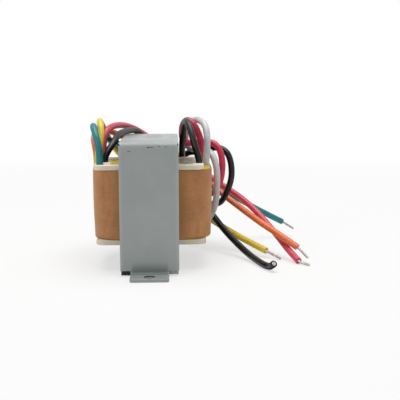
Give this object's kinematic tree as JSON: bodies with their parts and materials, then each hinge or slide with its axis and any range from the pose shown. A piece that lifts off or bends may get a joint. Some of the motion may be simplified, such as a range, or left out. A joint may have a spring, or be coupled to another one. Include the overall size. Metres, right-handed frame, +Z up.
{
  "type": "speaker line transformer",
  "caption": "Channel-frame line transformer: laminated core in a folded bracket with slotted feet, a paper-wrapped coil on a flanged bobbin, and coloured leads with bare tips.",
  "frame": {"origin": "centre of the two feet, on the surface they stand on", "axes": "+Z up, +Y from foot to foot and away from the viewer, +X along the coil's open ends"},
  "size_m": [0.0907, 0.0973, 0.0582],
  "materials": {
    "grey_paint": "satin grey paint on folded sheet steel",
    "core_steel": "dark varnished electrical steel",
    "bobbin_nylon": "cream moulded nylon",
    "enamelled_copper": "enamelled copper wire in layers",
    "yellow_tape": "yellow film tape",
    "brown_paper": "varnished brown paper",
    "green_insulation": "soft plastic insulation",
    "yellow_insulation": "soft plastic insulation",
    "orange_insulation": "soft plastic insulation",
    "red_insulation": "soft plastic insulation",
    "black_insulation": "soft plastic insulation",
    "white_insulation": "soft plastic insulation",
    "tinned_copper": "tinned twisted strands"
  },
  "bodies": {
    "root": {"channel_bracket": "grey_paint", "e_plates": "core_steel", "i_plates": "core_steel", "bobbin": "bobbin_nylon", "primary_winding": "enamelled_copper", "winding_insulation": "yellow_tape", "secondary_winding": "enamelled_copper", "winding_tape": "yellow_tape", "paper_wrap": "brown_paper", "green_lead": "green_insulation", "yellow_lead": "yellow_insulation", "orange_lead": "orange_insulation", "left_red_lead": "red_insulation", "left_black_lead": "black_insulation", "right_black_lead": "black_insulation", "right_red_lead": "red_insulation", "white_lead": "white_insulation", "green_lead_tip": "tinned_copper", "yellow_lead_tip": "tinned_copper", "orange_lead_tip": "tinned_copper", "left_red_lead_tip": "tinned_copper", "left_black_lead_tip": "tinned_copper", "right_black_lead_tip": "tinned_copper", "right_red_lead_tip": "tinned_copper", "white_lead_tip": "tinned_copper"}
  },
  "joints": []
}
